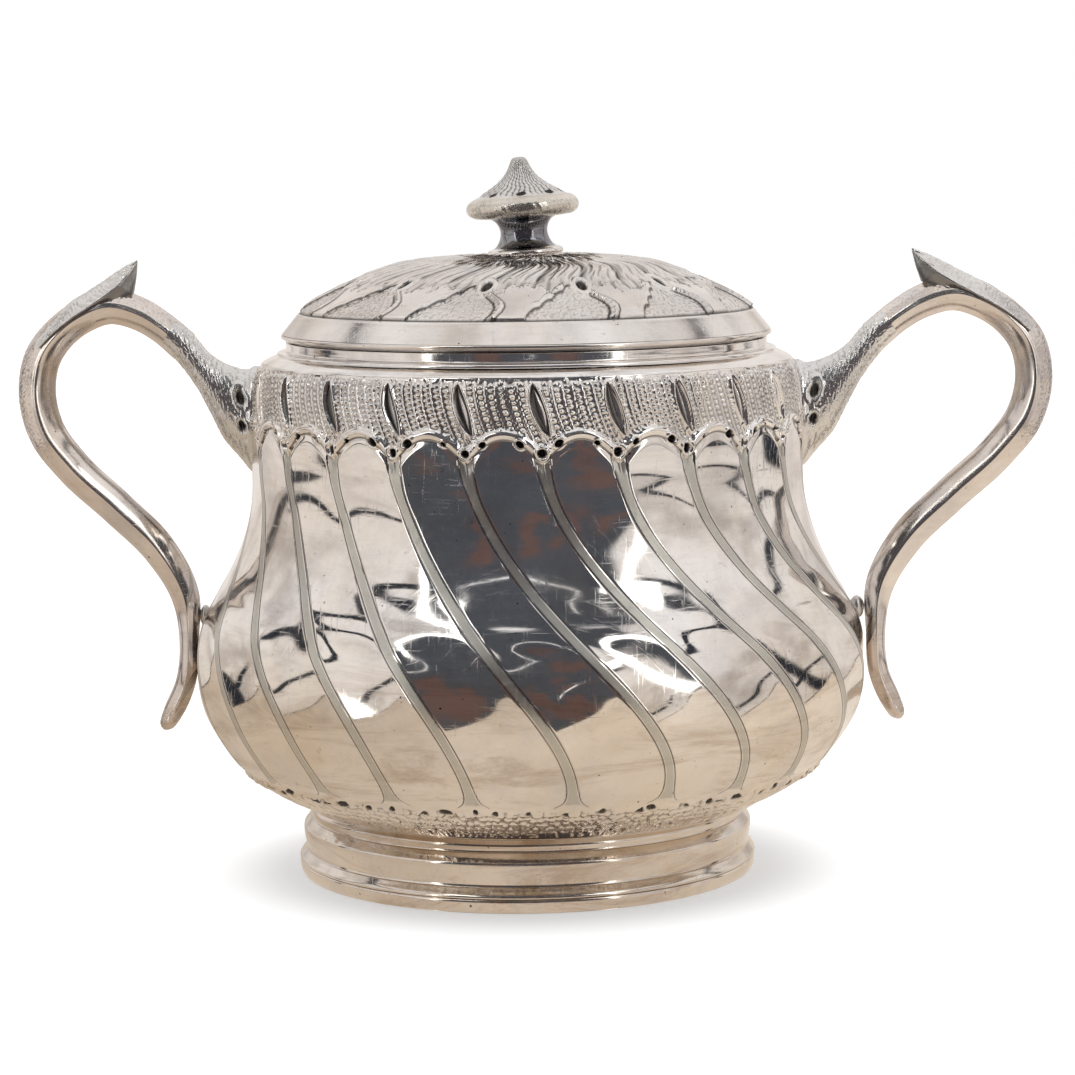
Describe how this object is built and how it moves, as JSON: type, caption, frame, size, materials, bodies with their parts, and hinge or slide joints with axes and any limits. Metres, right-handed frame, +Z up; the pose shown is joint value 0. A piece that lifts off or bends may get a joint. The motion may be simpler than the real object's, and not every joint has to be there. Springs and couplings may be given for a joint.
{
  "type": "covered sugar bowl",
  "caption": "Two-handled silver sugar bowl with swirled fluting, a chased shoulder, a round foot, looped handles and a domed lid with a finial that lifts off.",
  "frame": {"origin": "middle of the foot's underside, on the surface the bowl stands on", "axes": "+Z up along the bowl's axis; the handles lie along X, the left handle at -X; -Y faces the viewer"},
  "size_m": [0.2029, 0.1314, 0.1401],
  "materials": {
    "polished_silver": "bright polished silver plate with light hand scratches and a warm tarnish",
    "warm_silver": "polished silver plate with a stronger golden-brown tarnish",
    "chased_silver": "chased and stippled silver plate, dark in the recesses",
    "dark_silver": "polished silver plate, tarnished dark",
    "gilt_silver": "silver plate toned golden by tarnish",
    "plain_silver": "plain satin silver plate",
    "fixing_brass": "plain brass, dull"
  },
  "bodies": {
    "bowl": {"bowl_body": "polished_silver", "foot_ring": "warm_silver", "foot_base_wire": "warm_silver", "mouth_collar": "polished_silver", "left_handle": "warm_silver", "left_handle_socket": "chased_silver", "left_thumb_leaf": "chased_silver", "left_handle_lug": "plain_silver", "right_handle": "warm_silver", "right_handle_socket": "chased_silver", "right_thumb_leaf": "chased_silver", "right_handle_lug": "plain_silver"},
    "lid": {"lid_dome": "chased_silver", "lid_rim_wire": "polished_silver", "lid_bezel": "plain_silver", "finial_base": "polished_silver", "finial_neck": "dark_silver", "finial_disc": "gilt_silver", "finial_cap": "chased_silver", "finial_stud": "fixing_brass", "lid_washer": "fixing_brass", "finial_nut": "fixing_brass"}
  },
  "joints": [
    {"name": "lid_lift", "type": "slide", "parent": "bowl", "child": "lid", "axis": [0, 0, 1], "range_m": [0, 0.06]}
  ]
}
